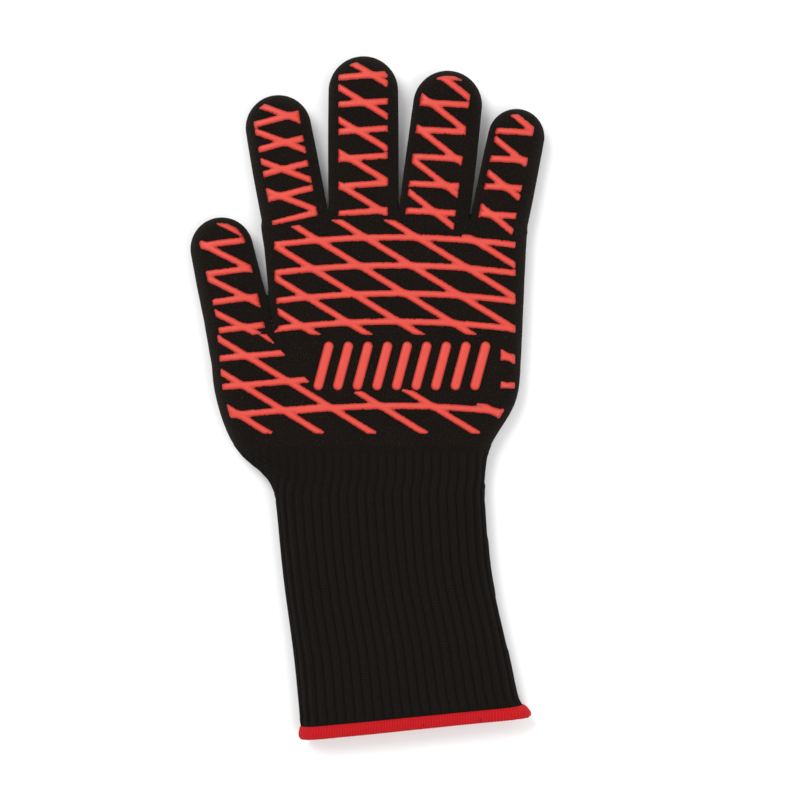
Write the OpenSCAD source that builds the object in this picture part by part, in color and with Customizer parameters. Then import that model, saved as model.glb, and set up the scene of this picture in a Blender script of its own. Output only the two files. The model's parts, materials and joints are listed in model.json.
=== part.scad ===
// Heat resistant glove, lying flat on its back with the palm up.
// Fingers point to +Y, the thumb to -X, and the palm faces +Z.
// Every length of fabric between two creases is its own set of pieces: a knitted
// outer shell, a cotton liner inside it and a silicone grip lattice on both faces.

/* [Fingers] */
// Widths at the knuckles: index, middle, ring, little
finger_w = [32.5, 34, 34.5, 28]; // [26:0.5:40]
// Widths where the tips begin to round
finger_tip_w = [31, 33, 32.5, 26.5]; // [22:0.5:38]
// Lengths from the knuckle crease to the second crease
proximal_len = [20, 25, 24, 19]; // [14:0.5:34]
// Lengths from the second crease to the third
middle_len = [18.5, 23.5, 22, 17]; // [14:0.5:32]
// Lengths from the third crease to the fingertip
tip_len = [20, 25, 23, 20]; // [16:0.5:34]
// Distance across from the thumb's crotch to the index finger's inner side
index_reach = 27; // [20:0.5:34]
// How far each finger leans to the left, in degrees
finger_lean = [10.5, 0, -7, -11.5]; // [-15:0.5:15]

/* [Thumb] */
// Width at the thumb's root
thumb_w = 31; // [26:0.5:38]
// Width where the thumb's tip begins to round
thumb_tip_w = 29.5; // [22:0.5:36]
// Length from the root crease to the tip crease
thumb_proximal_len = 25; // [16:0.5:34]
// Length from the tip crease to the end
thumb_tip_len = 31; // [20:0.5:40]
// How far the thumb leans to the left, in degrees
thumb_lean = 12.5; // [0:0.5:25]
// How far the thumb's root crease drops from the crotch to the outer edge
thumb_drop = 30; // [20:0.5:40]

/* [Palm] */
// Distance from the glove's centre line to the crotch of the thumb
crotch_offset = 46; // [35:0.5:60]
// Length from the middle finger's knuckle crease to the wrist crease
palm_len = 121.5; // [100:0.5:150]
// Height of the thumb's crotch above the wrist crease
crotch_h = 66; // [50:0.5:80]
// Width from the thumb's crotch to the little finger's edge
palm_w = 119; // [100:0.5:140]
// Width from below the thumb's crotch to the outer edge at the wrist
wrist_w = 102.5; // [84:0.5:118]
// How far the heel under the thumb reaches out at the wrist
heel_w = 11.5; // [8:0.5:20]
// Length over which the heel of the hand rounds in to the wrist
heel_len = 34; // [20:1:50]

/* [Cuff] */
// Length from the wrist crease to the hem's edge
cuff_len = 133.5; // [60:0.5:180]
// Width of the narrow part below the wrist
neck_w = 101; // [80:0.5:115]
// Extra width of the cuff's mouth on the thumb's side, past the neck (less is narrower)
flare_thumb_side = -12.5; // [-20:0.5:20]
// Extra width of the cuff's mouth on the other side
flare_far_side = 17; // [0:0.5:30]
// How much nearer the hand the hem lies on its far side
hem_rise = 11; // [0:0.5:20]
// Height of the hem binding
hem_h = 6.5; // [3:0.5:12]

/* [Fabric] */
// Thickness of the glove as it lies, without the grips
glove_t = 15; // [12:0.5:24]
// Thickness of the knitted outer shell
shell_t = 1.8; // [1:0.1:2.6]
// Thickness of the cotton liner
liner_t = 1.3; // [0.8:0.1:2]
// How far the rounded edges reach in from the sides
edge_round = 5; // [3:0.5:8]
// Thickness of the hem binding outside and inside the cuff's wall
hem_t = 0.8; // [0.4:0.1:1.5]

/* [Grips] */
// How far the silicone stands off the fabric
grip_t = 0.8; // [0.4:0.1:1.5]
// Width of one printed line
grip_w = 2.8; // [1.5:0.1:4]
// Distance between the lines that run across
grip_pitch = 13.5; // [9:0.5:20]
// Slope of the diagonal lines, in degrees
grip_slope = 32; // [20:1:45]
// Bare margin between the grips and the edges of the glove
grip_margin = 5.5; // [5:0.5:10]
// Number of slanted bars across the palm
bar_count = 9; // [5:1:13]
// Height of the bare band that holds the slanted bars
bar_band_h = 34; // [20:1:44]

/* [Clearances] */
// Gap between two pieces that fold against each other
fold_gap = 0.3; // [0.2:0.05:0.6]
// Gap between the liner and the shell
liner_gap = 0.2; // [0.1:0.05:0.4]
// Gap between neighbouring fingers at their roots
finger_gap = 0.8; // [0.4:0.1:2]

/* [Hidden] */

INDEX = 0;
MIDDLE = 1;
RING = 2;
LITTLE = 3;
THUMB = 4;
PROXIMAL = 0;
MIDDLE_PHALANX = 1;
TIP = 2;

shell_colour = [0.1, 0.1, 0.1];
rib_colour = [0.13, 0.12, 0.12];
liner_colour = [0.88, 0.84, 0.74];
grip_colour = [0.93, 0.3, 0.23];
hem_colour = [0.84, 0.12, 0.16];

// Facets of one rounded edge, and the angles of the rings that round a fingertip
edge_steps = 6;
tip_angles = [0, 28, 50, 68, 82];
// Rounding of the nearly flat side where the palm and the thumb meet
flat_round = 0.6;
// Height of the step from a rounded side to a flat one
side_step = 1.5;

// Heights of the fabric: the grips of the back face lie under it
fabric_z = grip_t;
fold_z = grip_t + glove_t;
liner_inset = shell_t + liner_gap;
lining_t = liner_inset + liner_t;

// Lengths from root crease to fingertip
finger_len = [for (i = [0:3]) proximal_len[i] + middle_len[i] + tip_len[i]];
thumb_len = thumb_proximal_len + thumb_tip_len;
overall_len = finger_len[MIDDLE] + palm_len + cuff_len;

// The creases, as heights along the hand, with the glove's middle at y = 0
knuckle_y = overall_len / 2 - finger_len[MIDDLE];
wrist_y = knuckle_y - palm_len;
crotch_y = wrist_y + crotch_h;
hem_y = -overall_len / 2;

// The crotch of the thumb, and the outer edges of palm and wrist
crotch_x = -crotch_offset;
palm_x = crotch_x + palm_w;
wrist_x = crotch_x + wrist_w;
heel_x = crotch_x - heel_w;

function across(a) = [cos(a), sin(a)];
function along(a) = [-sin(a), cos(a)];
function lerp(a, b, t) = a + (b - a) * t;
function unit(v) = v / norm(v);
function ease(t) = let (s = min(max(t, 0), 1)) s * s * (3 - 2 * s);

// The knuckle line: five corners, from the index finger's outer side to the little finger's
knuckle_1 = [crotch_x + index_reach, knuckle_y];
knuckles = [
  knuckle_1 - finger_w[INDEX] * across(finger_lean[INDEX]),
  knuckle_1,
  knuckle_1 + finger_w[MIDDLE] * across(finger_lean[MIDDLE]),
  knuckle_1 + finger_w[MIDDLE] * across(finger_lean[MIDDLE])
    + finger_w[RING] * across(finger_lean[RING]),
  knuckle_1 + finger_w[MIDDLE] * across(finger_lean[MIDDLE])
    + finger_w[RING] * across(finger_lean[RING])
    + finger_w[LITTLE] * across(finger_lean[LITTLE])
];
knuckle_span = knuckles[4].x - knuckles[0].x;
knuckle_share = [for (k = knuckles) (k.x - knuckles[0].x) / knuckle_span];

// The thumb's root crease, slanted from the outer edge up to the crotch, and the
// middle of the thumb at the height of the crotch
crotch = [crotch_x, crotch_y];
thumb_mid = crotch - thumb_w / 2 * across(thumb_lean);
drop_y = crotch_y - thumb_drop;
thumb_heel = [thumb_side_x(drop_y), drop_y];

// The outer edge under the thumb, from the wrist up to the height of the thumb's middle
function thumb_side_x(y) =
  let (t = min(max((y - wrist_y) / (crotch_h - thumb_w / 5), 0), 1))
  lerp(heel_x, crotch_x - thumb_w * cos(thumb_lean), pow(sin(90 * t), 0.6));

// ---- rings and skins ----

// One rounded edge of a ring, from the top down or from the bottom up
function edge_arc(end, outward, reach, low, high, from) = [
  for (k = [0:edge_steps])
    let (a = from - sign(from) * 180 * k / edge_steps)
    let (p = end + outward * reach * (cos(a) - 1))
    [p.x, p.y, (low + high) / 2 + (high - low) / 2 * sin(a)]
];

// A closed ring round the fabric: flat above and below the plan path, rounded at both ends
function ring(path, left_round, right_round, low, high) =
  let (n = len(path), out_l = unit(path[0] - path[1]), out_r = unit(path[n - 1] - path[n - 2]))
  concat(
    edge_arc(path[n - 1], out_r, right_round, low, high, 90),
    [for (i = [n - 2:-1:1]) [path[i].x, path[i].y, low]],
    edge_arc(path[0], out_l, left_round, low, high, -90),
    [for (i = [1:1:n - 2]) [path[i].x, path[i].y, high]]
  );

// The same ring moved in from the fabric's outer face
function inset_ring(path, left_round, right_round, inset, squeeze = 1) =
  let (
    n = len(path),
    out_l = unit(path[0] - path[1]),
    out_r = unit(path[n - 1] - path[n - 2]),
    mid = (fabric_z + fold_z) / 2,
    half = (glove_t / 2) * squeeze - inset,
    inner = [for (i = [0:n - 1])
      i == 0 ? path[0] - out_l * inset : i == n - 1 ? path[i] - out_r * inset : path[i]]
  )
  ring(inner, max(left_round - inset, flat_round / 2), max(right_round - inset, flat_round / 2),
    mid - half, mid + half);

// A skin through the rings. Looped, its last ring joins its first, which makes a tube's wall
module skin(rings, looped = true) {
  n = len(rings[0]);
  m = len(rings);
  strips = looped ? m : m - 1;
  walls = [for (j = [0:strips - 1]) for (k = [0:n - 1])
    let (a = j * n + k, b = j * n + (k + 1) % n, c = ((j + 1) % m) * n + (k + 1) % n,
      d = ((j + 1) % m) * n + k)
    each [[a, c, b], [a, d, c]]];
  ends = looped ? [] : [[for (k = [0:n - 1]) k], [for (k = [n - 1:-1:0]) (m - 1) * n + k]];
  polyhedron(points = [for (r = rings) each r], faces = concat(walls, ends), convexity = 8);
}

function reversed(list) = [for (i = [len(list) - 1:-1:0]) list[i]];

// The wall of a tube between two insets, open at both ends.
// A station is [plan path, left rounding, right rounding]
module tube_wall(stations, outer, inner) {
  skin(concat(
    [for (s = stations) inset_ring(s[0], s[1], s[2], outer)],
    [for (s = reversed(stations)) inset_ring(s[0], s[1], s[2], inner)]
  ));
}

// ---- fingers and thumb, in their own frame: root crease on y = 0, tip towards +Y ----

function digit_root_w(i) = i == THUMB ? thumb_w : finger_w[i];
function digit_tip_w(i) = i == THUMB ? thumb_tip_w : finger_tip_w[i];
function digit_lean(i) = i == THUMB ? thumb_lean : finger_lean[i];
function digit_len(i) = i == THUMB ? thumb_len : finger_len[i];
function digit_root(i) = i == THUMB
  ? thumb_mid
  : (knuckles[i] + knuckles[i + 1]) / 2;
function last_crease(i) = i == THUMB ? thumb_proximal_len : proximal_len[i] + middle_len[i];
function crease(i, phalanx) =
  phalanx == PROXIMAL ? 0 : phalanx == TIP ? last_crease(i) : proximal_len[i];
function phalanx_end(i, phalanx) =
  phalanx == TIP ? digit_len(i)
  : phalanx == PROXIMAL && i != THUMB ? proximal_len[i] : last_crease(i);

// The tip rounds over half of its width
function round_len(i) = digit_tip_w(i) / 2 * 0.86;
function digit_w(i, y) =
  lerp(digit_root_w(i) - finger_gap, digit_tip_w(i),
    min(1, y / (digit_len(i) - round_len(i))));
function digit_path(i, y, w) = [[-w / 2, y], [w / 2, y]];
function tip_ring(i, inset, angle) =
  let (
    w = digit_tip_w(i) - 2 * inset,
    y = digit_len(i) - round_len(i) + (round_len(i) - inset) * sin(angle),
    c = cos(angle),
    mid = (fabric_z + fold_z) / 2,
    half = (glove_t / 2 - inset) * pow(c, 0.8),
    reach = max(edge_round - inset, flat_round) * c
  )
  ring(digit_path(i, y, w * c), reach, reach, mid - half, mid + half);

module on_digit(i) {
  translate([digit_root(i).x, digit_root(i).y, 0])
    rotate([0, 0, digit_lean(i)])
      children();
}

// The thumb's own root, from its slanted crease to its tip crease, in the glove's frame
function on_thumb(x, y) = thumb_mid + x * across(thumb_lean) + y * along(thumb_lean);
function thumb_path(y) = let (w = digit_w(THUMB, max(y, 0)))
  [on_thumb(-w / 2, y), on_thumb(w / 2, y)];
root_dir = unit(crotch - thumb_heel);
root_out = [-root_dir.y, root_dir.x];
module thumb_root_wall(outer, inner) {
  tube_wall([
    [[thumb_heel + root_out * fold_gap, crotch + root_out * fold_gap - root_dir * fold_gap],
      edge_round, flat_round],
    [[(thumb_heel + thumb_path(0)[0]) / 2, thumb_path(side_step)[1]], edge_round, edge_round],
    [[thumb_path(0)[0], thumb_path(4)[1]], edge_round, edge_round],
    [thumb_path(thumb_proximal_len * 0.5), edge_round, edge_round],
    [thumb_path(thumb_proximal_len), edge_round, edge_round]
  ], outer, inner);
}

// One length of a finger's fabric, between two insets from its outer face
module phalanx_wall(i, phalanx, outer, inner) {
  from = crease(i, phalanx) + fold_gap;
  to = phalanx_end(i, phalanx);
  root = digit_path(i, from, digit_w(i, from));
  end = digit_path(i, to, digit_w(i, to));
  if (i == THUMB && phalanx == PROXIMAL) thumb_root_wall(outer, inner);
  else on_digit(i)
    if (phalanx == TIP)
      skin(concat(
        [for (a = reversed(tip_angles)) tip_ring(i, inner, a)],
        [inset_ring(root, edge_round, edge_round, inner),
          inset_ring(root, edge_round, edge_round, outer)],
        [for (a = tip_angles) tip_ring(i, outer, a)]
      ), looped = false);
    else
      tube_wall([[root, edge_round, edge_round], [end, edge_round, edge_round]], outer, inner);
}

module phalanx_shell(i, phalanx) {
  color(shell_colour) phalanx_wall(i, phalanx, 0, shell_t);
}

module phalanx_liner(i, phalanx) {
  color(liner_colour) phalanx_wall(i, phalanx, liner_inset, lining_t);
}

// ---- grips ----

// Lines across and diagonal lines, over a length from y = low to y = high
module lattice(low, high, reach) {
  first = floor((low - reach) / grip_pitch);
  last = ceil((high + reach) / grip_pitch);
  for (k = [first:last]) {
    translate([-reach, (k + 0.5) * grip_pitch - grip_w / 2]) square([2 * reach, grip_w]);
    translate([0, k * grip_pitch / cos(grip_slope)])
      rotate(-grip_slope)
        translate([-reach * 1.5, -grip_w / 2])
          square([3 * reach, grip_w]);
  }
}

// The flat part of one phalanx, clear of its creases and its rounded edges
module phalanx_zone(i, phalanx) {
  from = crease(i, phalanx) + fold_gap + 2 * grip_t;
  to = phalanx_end(i, phalanx) - 2 * grip_t;
  half = digit_w(i, to) / 2 - grip_margin;
  if (i == THUMB && phalanx == PROXIMAL) {
    outer_low = [(thumb_heel - thumb_mid) * across(thumb_lean),
      (thumb_heel - thumb_mid) * along(thumb_lean)];
    slope = (0 - outer_low.y) / (thumb_w / 2 - outer_low.x);
    lift = 2 * grip_t * 1.6;
    polygon([[-half, to], [half, to], [half, lift - slope * grip_margin],
      [-half, outer_low.y + slope * (-half - outer_low.x) + lift]]);
  } else if (phalanx == TIP) {
    round_y = digit_len(i) - round_len(i);
    polygon([
      [-half, from], [half, from], [half, round_y],
      [half * 0.72, round_y + half * 0.4], [-half * 0.72, round_y + half * 0.4],
      [-half, round_y]
    ]);
  } else
    polygon([[-half, from], [half, from], [half, to], [-half, to]]);
}

// The same print on both faces: the back face's lies under the fabric
module both_faces() {
  for (z = [0, fold_z])
    translate([0, 0, z])
      linear_extrude(grip_t)
        children();
}

module phalanx_grip(i, phalanx) {
  color(grip_colour)
    on_digit(i)
      both_faces()
        intersection() {
          phalanx_zone(i, phalanx);
          lattice(0, digit_len(i), digit_root_w(i));
        }
}

// ---- palm ----

function palm_left(y) = y > crotch_y
  ? lerp(crotch_x, knuckles[0].x, (y - crotch_y) / (knuckles[0].y - crotch_y))
  : y > drop_y
  ? lerp(thumb_heel.x, crotch_x, (y - drop_y) / thumb_drop)
  : thumb_side_x(y);
heel_y = wrist_y + heel_len;
function palm_right(y) = y > heel_y
  ? lerp(palm_x, knuckles[4].x, (y - heel_y) / (knuckles[4].y - heel_y))
  : lerp(wrist_x, palm_x, ease((y - wrist_y) / heel_len));
function palm_path(y) =
  [for (s = knuckle_share) [lerp(palm_left(y), palm_right(y), s), y]];

upper_y = (crotch_y + 1.5 + knuckles[4].y) / 2;
palm_stations = concat(
  [[knuckles, edge_round, edge_round],
    [palm_path(upper_y), edge_round, edge_round],
    [palm_path(crotch_y + side_step), edge_round, edge_round],
    [palm_path(crotch_y), flat_round, edge_round],
    [palm_path(drop_y), flat_round, edge_round]],
  [for (t = [1, 0.8, 0.6, 0.42, 0.27, 0.15, 0.06, 0])
    [palm_path(lerp(wrist_y + fold_gap, drop_y - side_step, t)), edge_round, edge_round]]
);

// The way from the palm into the thumb, cut through the palm's wall along the root crease
module thumb_way() {
  margin = 1.5 * lining_t;
  crease_len = norm(crotch - thumb_heel);
  translate([thumb_heel.x, thumb_heel.y, fabric_z + lining_t])
    rotate([0, 0, atan2(root_dir.y, root_dir.x)])
      translate([margin, -2.5 * lining_t, 0])
        cube([crease_len - 2 * margin, 3 * lining_t, glove_t - 2 * lining_t]);
}

module palm_shell() {
  color(shell_colour)
    difference() {
      tube_wall(palm_stations, 0, shell_t);
      thumb_way();
    }
}

module palm_liner() {
  color(liner_colour)
    difference() {
      tube_wall(palm_stations, liner_inset, lining_t);
      thumb_way();
    }
}

// The flat part of the palm, clear of its creases and its rounded edges
module palm_zone() {
  crease_margin = 2 * grip_t;
  polygon(concat(
    [for (k = [1:3]) knuckles[k] - [0, crease_margin]],
    [[palm_right(knuckles[4].y) - grip_margin, knuckles[4].y - crease_margin]],
    [for (y = [upper_y, heel_y, wrist_y + heel_len * 0.7, wrist_y + heel_len * 0.35,
      wrist_y + grip_margin]) [palm_right(y) - grip_margin, y]],
    [for (y = [wrist_y + grip_margin, lerp(wrist_y, drop_y, 0.45), lerp(wrist_y, drop_y, 0.7), drop_y])
      [thumb_side_x(y) + grip_margin + crease_margin, y - crease_margin]],
    [crotch - root_out * crease_margin * 1.5, [palm_left(upper_y) + grip_margin, upper_y],
      [knuckles[0].x + grip_margin, knuckles[0].y - crease_margin]]
  ));
}

bar_y = wrist_y + 46;
bar_x = (crotch_x + palm_x) / 2 + 3;
bar_pitch = (palm_w - 35) / bar_count;

module bar_band() {
  translate([crotch_x, bar_y - bar_band_h / 2])
    square([palm_w - 2 * grip_margin, bar_band_h]);
}

module palm_print(bare_band) {
  intersection() {
    palm_zone();
    difference() {
      translate([(crotch_x + palm_x) / 2, 0]) lattice(wrist_y, knuckle_y, palm_w);
      if (bare_band) bar_band();
    }
  }
}

module palm_grip() {
  color(grip_colour) {
    linear_extrude(grip_t) palm_print(false);
    translate([0, 0, fold_z]) linear_extrude(grip_t) palm_print(true);
  }
}

// Slanted bars with round ends, in a row across the palm
module palm_bars() {
  bar_len = bar_band_h - 14;
  bar_w = bar_pitch * 0.5;
  color(grip_colour)
    translate([0, 0, fold_z])
      for (k = [0:bar_count - 1])
        translate([bar_x + (k - (bar_count - 1) / 2) * bar_pitch, bar_y])
          rotate(-15)
            linear_extrude(grip_t)
              union() {
                translate([-bar_w / 2, -bar_len / 2]) square([bar_w, bar_len]);
                for (s = [-1, 1]) translate([0, s * bar_len / 2]) circle(d = bar_w, $fn = 32);
              }
}

// ---- cuff ----

function cuff_t(y) = (wrist_y - y) / cuff_len;
neck_x = crotch_x - 1;
neck_len = 11;
function cuff_left(y) =
  neck_x - (heel_w - 1) * pow(max(0, 1 - (wrist_y - y) / neck_len), 2)
  - flare_thumb_side * cuff_t(y);
function cuff_right(y) =
  lerp(wrist_x, neck_x + neck_w, ease((wrist_y - y) / neck_len))
  + flare_far_side * pow(max(0, cuff_t(y)), 1.8);

// A path across the cuff: level at the wrist, and as slanted as the hem at the mouth
function cuff_path(y) =
  let (far_y = y + hem_rise * cuff_t(y))
  [[cuff_left(y), y], [cuff_right(far_y), far_y]];
function cuff_station(y) = [cuff_path(y), edge_round, edge_round];

hem_top_y = hem_y + hem_h;
cuff_stations = [for (y = concat(
    [for (k = [0:4]) wrist_y - neck_len * k / 4],
    [for (k = [1:5]) lerp(wrist_y - neck_len, hem_top_y, k / 5)]
  )) cuff_station(y)];

module cuff_shell() {
  color(rib_colour) tube_wall(cuff_stations, 0, shell_t);
}

module cuff_liner() {
  color(liner_colour) tube_wall(cuff_stations, liner_inset, lining_t);
}

// The overlocked binding that closes the edges of shell and liner
module cuff_hem() {
  color(hem_colour)
    tube_wall([cuff_station(hem_top_y - liner_gap), cuff_station(hem_y)],
      -hem_t, lining_t + hem_t);
}

module index_proximal_shell() { phalanx_shell(INDEX, PROXIMAL); }
module index_proximal_liner() { phalanx_liner(INDEX, PROXIMAL); }
module index_proximal_grip() { phalanx_grip(INDEX, PROXIMAL); }
module index_middle_shell() { phalanx_shell(INDEX, MIDDLE_PHALANX); }
module index_middle_liner() { phalanx_liner(INDEX, MIDDLE_PHALANX); }
module index_middle_grip() { phalanx_grip(INDEX, MIDDLE_PHALANX); }
module index_tip_shell() { phalanx_shell(INDEX, TIP); }
module index_tip_liner() { phalanx_liner(INDEX, TIP); }
module index_tip_grip() { phalanx_grip(INDEX, TIP); }
module middle_proximal_shell() { phalanx_shell(MIDDLE, PROXIMAL); }
module middle_proximal_liner() { phalanx_liner(MIDDLE, PROXIMAL); }
module middle_proximal_grip() { phalanx_grip(MIDDLE, PROXIMAL); }
module middle_middle_shell() { phalanx_shell(MIDDLE, MIDDLE_PHALANX); }
module middle_middle_liner() { phalanx_liner(MIDDLE, MIDDLE_PHALANX); }
module middle_middle_grip() { phalanx_grip(MIDDLE, MIDDLE_PHALANX); }
module middle_tip_shell() { phalanx_shell(MIDDLE, TIP); }
module middle_tip_liner() { phalanx_liner(MIDDLE, TIP); }
module middle_tip_grip() { phalanx_grip(MIDDLE, TIP); }
module ring_proximal_shell() { phalanx_shell(RING, PROXIMAL); }
module ring_proximal_liner() { phalanx_liner(RING, PROXIMAL); }
module ring_proximal_grip() { phalanx_grip(RING, PROXIMAL); }
module ring_middle_shell() { phalanx_shell(RING, MIDDLE_PHALANX); }
module ring_middle_liner() { phalanx_liner(RING, MIDDLE_PHALANX); }
module ring_middle_grip() { phalanx_grip(RING, MIDDLE_PHALANX); }
module ring_tip_shell() { phalanx_shell(RING, TIP); }
module ring_tip_liner() { phalanx_liner(RING, TIP); }
module ring_tip_grip() { phalanx_grip(RING, TIP); }
module little_proximal_shell() { phalanx_shell(LITTLE, PROXIMAL); }
module little_proximal_liner() { phalanx_liner(LITTLE, PROXIMAL); }
module little_proximal_grip() { phalanx_grip(LITTLE, PROXIMAL); }
module little_middle_shell() { phalanx_shell(LITTLE, MIDDLE_PHALANX); }
module little_middle_liner() { phalanx_liner(LITTLE, MIDDLE_PHALANX); }
module little_middle_grip() { phalanx_grip(LITTLE, MIDDLE_PHALANX); }
module little_tip_shell() { phalanx_shell(LITTLE, TIP); }
module little_tip_liner() { phalanx_liner(LITTLE, TIP); }
module little_tip_grip() { phalanx_grip(LITTLE, TIP); }
module thumb_proximal_shell() { phalanx_shell(THUMB, PROXIMAL); }
module thumb_proximal_liner() { phalanx_liner(THUMB, PROXIMAL); }
module thumb_proximal_grip() { phalanx_grip(THUMB, PROXIMAL); }
module thumb_tip_shell() { phalanx_shell(THUMB, TIP); }
module thumb_tip_liner() { phalanx_liner(THUMB, TIP); }
module thumb_tip_grip() { phalanx_grip(THUMB, TIP); }

palm_shell();
palm_liner();
palm_grip();
palm_bars();
cuff_shell();
cuff_liner();
cuff_hem();
thumb_proximal_shell();
thumb_proximal_liner();
thumb_proximal_grip();
thumb_tip_shell();
thumb_tip_liner();
thumb_tip_grip();
index_proximal_shell();
index_proximal_liner();
index_proximal_grip();
index_middle_shell();
index_middle_liner();
index_middle_grip();
index_tip_shell();
index_tip_liner();
index_tip_grip();
middle_proximal_shell();
middle_proximal_liner();
middle_proximal_grip();
middle_middle_shell();
middle_middle_liner();
middle_middle_grip();
middle_tip_shell();
middle_tip_liner();
middle_tip_grip();
ring_proximal_shell();
ring_proximal_liner();
ring_proximal_grip();
ring_middle_shell();
ring_middle_liner();
ring_middle_grip();
ring_tip_shell();
ring_tip_liner();
ring_tip_grip();
little_proximal_shell();
little_proximal_liner();
little_proximal_grip();
little_middle_shell();
little_middle_liner();
little_middle_grip();
little_tip_shell();
little_tip_liner();
little_tip_grip();
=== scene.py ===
import json
import math

import bmesh
import bpy
import numpy as np
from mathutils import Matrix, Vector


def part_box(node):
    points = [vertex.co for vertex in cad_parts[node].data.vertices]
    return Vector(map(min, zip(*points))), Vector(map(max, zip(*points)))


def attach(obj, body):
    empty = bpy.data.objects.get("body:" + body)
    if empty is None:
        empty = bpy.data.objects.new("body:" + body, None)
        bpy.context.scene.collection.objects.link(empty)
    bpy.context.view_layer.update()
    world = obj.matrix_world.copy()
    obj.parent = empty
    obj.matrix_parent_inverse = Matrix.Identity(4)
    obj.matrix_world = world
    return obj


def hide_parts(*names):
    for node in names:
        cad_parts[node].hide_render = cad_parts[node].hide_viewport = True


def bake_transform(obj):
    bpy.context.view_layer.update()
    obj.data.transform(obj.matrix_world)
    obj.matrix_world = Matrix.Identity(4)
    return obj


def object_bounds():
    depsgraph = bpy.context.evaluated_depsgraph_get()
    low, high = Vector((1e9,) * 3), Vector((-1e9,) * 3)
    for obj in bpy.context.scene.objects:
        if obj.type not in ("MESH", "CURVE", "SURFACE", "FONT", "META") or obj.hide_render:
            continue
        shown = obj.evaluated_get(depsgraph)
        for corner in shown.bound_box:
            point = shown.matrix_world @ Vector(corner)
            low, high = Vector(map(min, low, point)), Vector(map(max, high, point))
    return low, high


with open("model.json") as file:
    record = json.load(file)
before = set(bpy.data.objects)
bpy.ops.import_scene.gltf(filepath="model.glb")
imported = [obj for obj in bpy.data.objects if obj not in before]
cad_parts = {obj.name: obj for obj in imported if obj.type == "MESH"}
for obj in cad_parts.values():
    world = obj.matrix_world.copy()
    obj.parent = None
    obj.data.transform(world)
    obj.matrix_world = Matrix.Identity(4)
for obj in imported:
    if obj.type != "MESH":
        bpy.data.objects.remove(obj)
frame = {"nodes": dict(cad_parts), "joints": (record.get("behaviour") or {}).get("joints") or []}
cad_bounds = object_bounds()

# ----------------------------------------------
# The hand's outer fabric: one seamless plain knit of black heat resistant yarn, worked as
# a tube with a tube for each digit. Lengths are in metres. The shape is a soft slab
# round the plan outline of the frame, full and rounded at its edges.
# ----------------------------------------------
joints = {joint["name"]: joint for joint in frame["joints"]}
FABRIC_LOW, FABRIC_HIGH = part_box("palm_shell")[0].z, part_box("palm_shell")[1].z
MIDDLE_Z = (FABRIC_LOW + FABRIC_HIGH) / 2
HALF_THICKNESS = (FABRIC_HIGH - FABRIC_LOW) / 2
EDGE_ROUND = 0.0068
CROWN_DROP, CROWN_REACH = 0.0013, 0.013
CREASE_SOFTNESS = 0.0028
ROW_STEP = 0.004
KNUCKLE_CUT = 0.0015
CUFF_TOP = joints["wrist_fold"]["pos_m"][1] + 0.008


def corners(*nodes):
    """Every corner of these pieces of the frame, as one array."""
    return np.concatenate([[v.co[:] for v in frame["nodes"][n].data.vertices] for n in nodes])


# The fingers just touch at their roots, where the frame leaves room for its folds
ROOT_TOUCH, FINGER_BULGE, TIP_FULL = 0.0003, 0.0002, 0.0003


class Digit:
    """A finger or the thumb in its own directions: x across it, y from its root to its tip."""

    def __init__(self, name, phalanges, fold, reach_back=0.0):
        self.name, self.phalanges = name, phalanges
        joint = joints[fold]
        self.across = np.array(joint["axis"][:2])
        self.along = np.array([-self.across[1], self.across[0]])
        self.root = np.array(joint["pos_m"][:2]) - reach_back * self.along
        tip = self.own(corners(f"{name}_tip_shell"))
        first = self.own(corners(f"{name}_{phalanges[0]}_shell"))
        self.length = tip[:, 1].max()
        self.root_radius = np.abs(first[first[:, 1] < first[:, 1].max() - 0.001, 0]).max()
        self.root_radius += ROOT_TOUCH
        near_tip = tip[tip[:, 1] < self.length - 0.013]
        self.tip_radius = np.abs(near_tip[:, 0]).max() + TIP_FULL

    def own(self, points):
        """Points of the glove, in the digit's own directions."""
        away = points[:, :2] - self.root
        return np.stack([away @ self.across, away @ self.along], 1)

    def world(self, x, y, z):
        """A place of the digit, in the glove's directions."""
        spot = self.root + x * self.across + y * self.along
        return (spot[0], spot[1], z)

    def fold_height(self, joint_name):
        """How far from the root one of the digit's folds lies."""
        spot = np.array([joints[joint_name]["pos_m"]])
        return self.own(spot)[0, 1]

    def distance(self, points):
        """Plan distance to the digit's edge, negative inside."""
        x, y = self.own(points).T
        top = self.length - self.tip_radius
        share = np.clip(y / top, 0, 1)
        radius = self.root_radius + (self.tip_radius - self.root_radius) * share
        radius += FINGER_BULGE * np.sin(math.pi * share)
        beyond = np.where(y > top, y - top, np.minimum(y + 0.006, 0))
        return np.hypot(x, beyond) - radius


THREE = ("proximal", "middle", "tip")
fingers = [Digit(name, THREE, f"{name}_root") for name in ("index", "middle", "ring", "little")]
THUMB_FIRST_LENGTH = 0.025
thumb = Digit("thumb", ("proximal", "tip"), "thumb_tip_fold", THUMB_FIRST_LENGTH)
THUMB_FLARE = 0.0008
thumb.root_radius = thumb.tip_radius + THUMB_FLARE

# The thumb's root crease runs from the outer edge up to the crotch
CROTCH_RISE = 0.0298
crease_dir = np.array(joints["thumb_root"]["axis"][:2])
crease_out = np.array([-crease_dir[1], crease_dir[0]])
crease_spot = np.array(joints["thumb_root"]["pos_m"][:2])
crotch_y = corners("thumb_proximal_shell")[:, 1].min() + CROTCH_RISE
crotch_x = crease_spot[0] + (crotch_y - crease_spot[1]) * crease_dir[0] / crease_dir[1]


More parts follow.
